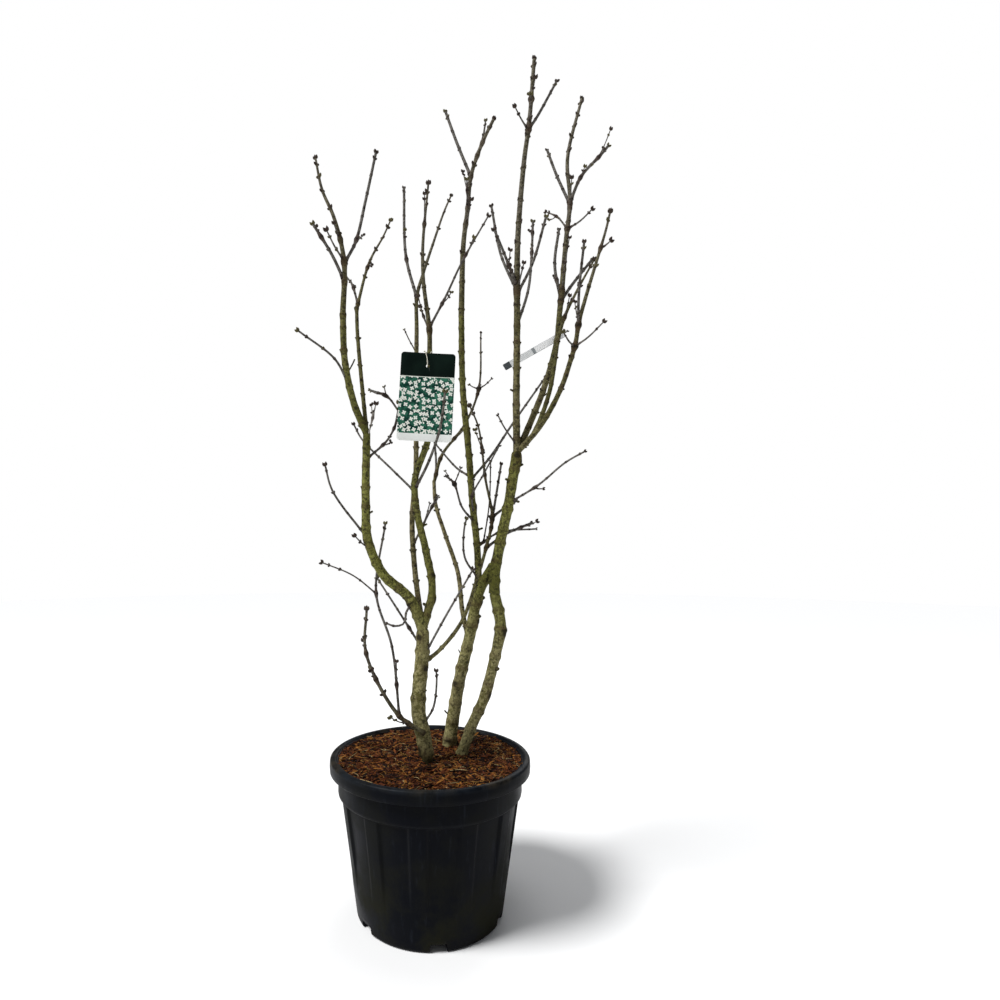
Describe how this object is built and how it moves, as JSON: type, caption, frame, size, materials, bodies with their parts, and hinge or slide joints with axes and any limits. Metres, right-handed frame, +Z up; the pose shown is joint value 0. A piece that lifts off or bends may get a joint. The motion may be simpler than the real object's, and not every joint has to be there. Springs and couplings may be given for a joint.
{
  "type": "potted bare lilac shrub",
  "caption": "Bare multi-stem lilac shrub with upright forking limbs and budded twigs in a round black fluted nursery pot, with a hanging picture card and a strip label.",
  "frame": {"origin": "centre of the pot's flat underside", "axes": "+Z up along the plant, -Y towards the side that the picture shows, +X to the right seen from there"},
  "size_m": [0.8829, 0.532, 2.3987],
  "materials": {
    "pot_plastic": "satin black, scuffed",
    "mulch": "loose fibrous bark and coir",
    "stem_bark": "khaki-grey bark with lenticels",
    "bough_bark": "olive-green bark with brown patches",
    "twigs": "smooth grey-brown shoots",
    "card": "printed satin plastic card",
    "tie": "pale coated wire",
    "strip": "satin label strip"
  },
  "bodies": {
    "root": {"pot": "pot_plastic", "soil": "mulch", "stem_left": "stem_bark", "stem_middle": "stem_bark", "stem_right": "stem_bark", "bough_left_lower": "bough_bark", "bough_left_upper": "bough_bark", "bough_left_inner": "bough_bark", "bough_centre_front": "bough_bark", "bough_centre_back": "bough_bark", "bough_cross": "bough_bark", "bough_back": "bough_bark", "bough_tall_middle": "bough_bark", "bough_right_lower": "bough_bark", "bough_tallest": "bough_bark", "bough_right_back": "bough_bark", "bough_right_thin": "bough_bark", "bough_right_front": "bough_bark", "picture_card": "card", "card_tie": "tie", "strip_label": "strip", "twigs_left_upper": "twigs", "twigs_left_inner": "twigs", "twigs_centre_front": "twigs", "twigs_centre_back": "twigs", "twigs_cross": "twigs", "twigs_back": "twigs", "twigs_tall_middle": "twigs", "twigs_tallest": "twigs", "twigs_right_back": "twigs", "twigs_right_thin": "twigs", "twigs_right_front": "twigs", "twigs_low_left": "twigs", "twigs_mid_left": "twigs", "twigs_low_right": "twigs", "twigs_cross_low": "twigs", "twigs_west": "twigs", "twigs_west_short": "twigs", "twigs_curled": "twigs", "twigs_inner_left": "twigs", "twigs_pale": "twigs", "twigs_far_left": "twigs", "twigs_behind_left": "twigs", "twigs_centre_low": "twigs", "twigs_before_card": "twigs", "twigs_behind_card": "twigs", "twigs_above_card": "twigs", "twigs_label_spur": "twigs", "twigs_fork_left": "twigs", "twigs_middle_left": "twigs", "twigs_middle_front": "twigs", "twigs_middle_west": "twigs", "twigs_middle_east": "twigs", "twigs_behind_right": "twigs", "twigs_right_low": "twigs", "twigs_tallest_foot": "twigs"}
  },
  "joints": []
}
